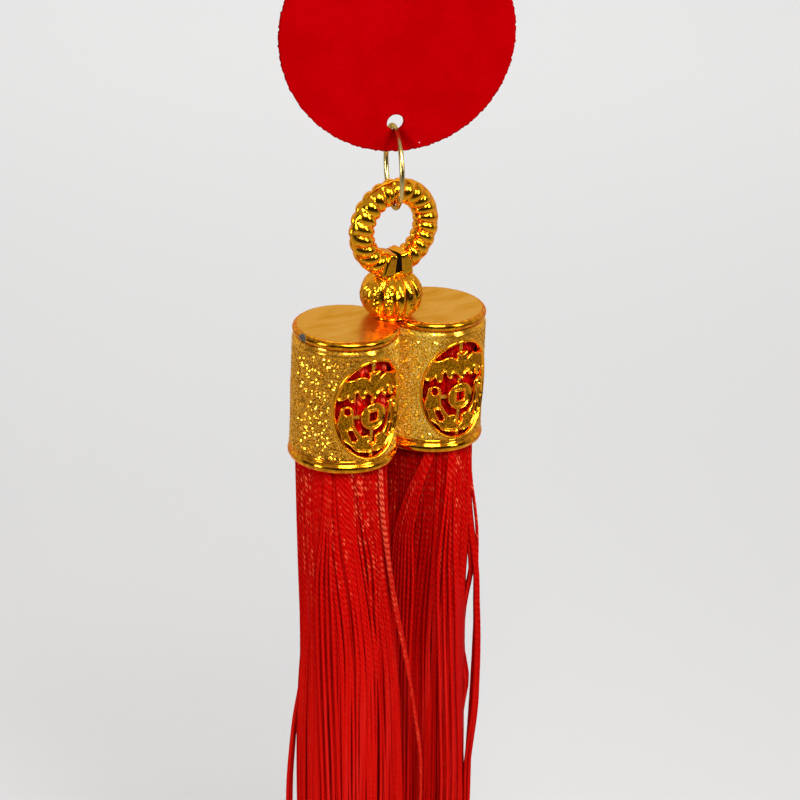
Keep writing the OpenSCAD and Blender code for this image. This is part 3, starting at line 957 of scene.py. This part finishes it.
loose_threads = {
    "left": loose(-barrel_x, [(0, 150, 10.4), (43, 148, 9.8), (60, 147, 9.9), (66, 147, 10.5),
                              (72, 146, 11.7), (80, 146, 12.5), (92, 147, 13.4), (130, 149, 14.2),
                              (200, 150, 14.2)], 5, 0.5, 4)
    + loose(-barrel_x, [(0, -104, 11.0), (12, -97, 11.3), (26, -84, 11.7), (60, -76, 11.9),
                        (200, -70, 11.9)], 6, 0.2, 3)
    + loose(-barrel_x, [(0, -140, 11.0), (30, -146, 11.4), (90, -138, 11.8), (200, -140, 11.9)], 10, 0.3, 4),
    "right": loose(barrel_x, [(0, -36, 10.2), (14, -36, 10.0), (20, -36, 10.3), (25, -36, 10.8),
                              (30, -36, 11.5), (34, -36, 12.0), (38, -36, 12.3), (45, -36, 12.4),
                              (52, -36, 12.7), (61, -36, 12.8), (76, -36, 12.6), (84, -36, 11.8),
                              (92, -37, 11.0), (200, -40, 10.6)], 9, 0.4, 11)
    + loose(barrel_x, [(0, -36, 10.0), (24, -36, 10.1), (34, -36, 11.1), (38, -36, 11.1), (42, -36, 10.3),
                       (47, -37, 9.3), (56, -38, 8.9), (200, -40, 9.6)], 7, 0.3, 6)
    + loose(barrel_x, [(0, -35, 10.0), (30, -35, 9.2), (61, -35, 9.0), (65, -35, 10.0), (69, -36, 10.9),
                       (73, -36, 10.2), (77, -37, 9.2), (200, -40, 9.2)], 6, 0.3, 6)
    + loose(barrel_x, [(0, -120, 10.9), (10, -140, 11.4), (22, -154, 11.7), (60, -160, 11.8),
                       (200, -165, 11.9)], 16, 0.3, 7)
    + loose(barrel_x, [(0, -92, 10.9), (30, -100, 11.5), (90, -92, 11.9), (200, -96, 11.8)], 12, 0.3, 4),
}
# The bright strand on the left tassel: its salmon colour is a painted highlight, strongest near the rim.
bright_threads = loose(-barrel_x, [(0, -70, 11.0), (13, -68, 11.4), (34, -57, 13.0), (59, -46, 16.5),
                                   (83, -38, 18.9), (200, -36, 19.3)], 2.2, 0.1, 3)
stray_thread = loose(barrel_x, [(0, -35, 10.3), (8, -35, 10.3), (13, -35, 10.7), (20, -35, 11.8),
                                (26, -35, 12.45), (33, -35, 12.65), (44, -35, 12.5), (61, -35, 12.0),
                                (76, -35, 11.3), (92, -36, 10.4), (200, -40, 10.2)], 0, 0, 1)
fine_threads = {"left": (bright_threads, 1.2, 0.6), "right": (stray_thread, 0.5, 0.42)}
outer_count, outer_r, outer_gather = 132, 10.45 * mm, 0.13
inner_count, inner_r, inner_gather = 80, 10.1 * mm, 0.08
core_top_r, core_swell, core_share = 9.7, 0.1, 0.97
core_sides, core_levels = 40, 24
flows = {
    "left": {"lean": 0.42, "lean_turn": -105, "first_lock": 9, "swell": 3.4 * mm, "swell_turn": -45,
             "thin": 1.3 * mm, "thin_turn": 145, "thin_at": 43 * mm, "thin_over": 19 * mm, "shade": 0,
             "shade_turn": 0},
    "right": {"lean": -0.18, "lean_turn": -140, "first_lock": -122 + 180 / locks, "swell": -1.2 * mm,
              "swell_turn": -36, "thin": 1.9 * mm, "thin_turn": -40, "thin_at": 62 * mm,
              "thin_over": 25 * mm, "shade": 1.0, "shade_turn": -138},
}
for barrel, centre_x in (("left", -barrel_x), ("right", barrel_x)):
    outer_paths, outer_tones = layer(centre_x, outer_count, outer_r, outer_gather, flows[barrel])
    inner_paths, inner_tones = layer(centre_x, inner_count, inner_r, inner_gather, flows[barrel])
    paths = outer_paths + inner_paths + loose_threads[barrel]
    tones = np.concatenate([outer_tones, inner_tones, rng.uniform(0.5, 1, len(loose_threads[barrel]))])
    widths = rng.uniform(0.85, 1.05, len(paths))
    fine, fine_tone, fine_width = fine_threads[barrel]
    paths += fine
    tones = np.append(tones, [fine_tone] * len(fine))
    widths = np.append(widths, [fine_width] * len(fine))
    threads = spun(f"tassel_threads_{barrel}", paths, tones, widths, silk)
    levels = np.linspace(0, 1, core_levels)
    around, part = np.meshgrid(np.linspace(0, 2 * np.pi, core_sides, endpoint=False), levels)
    core_fall = part * (tassel_l * core_share + head_l) - head_l
    core_r = (core_top_r + core_swell * part) * mm * np.where(part > 0.98, 0.3, 1)
    core_points = np.stack([centre_x + core_r * np.cos(around) + drift * np.maximum(core_fall, 0),
                            core_r * np.sin(around), plate_z - barrel_h - core_fall - 0.2 * mm], -1)
    core_faces = wrapped(core_points) + ends(core_points)
    core = solid(f"tassel_core_{barrel}", core_points.reshape(-1, 3), core_faces, core_silk)
    for piece in (threads, core):
        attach(piece, "pendant")
        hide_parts(f"tassel_{barrel}")
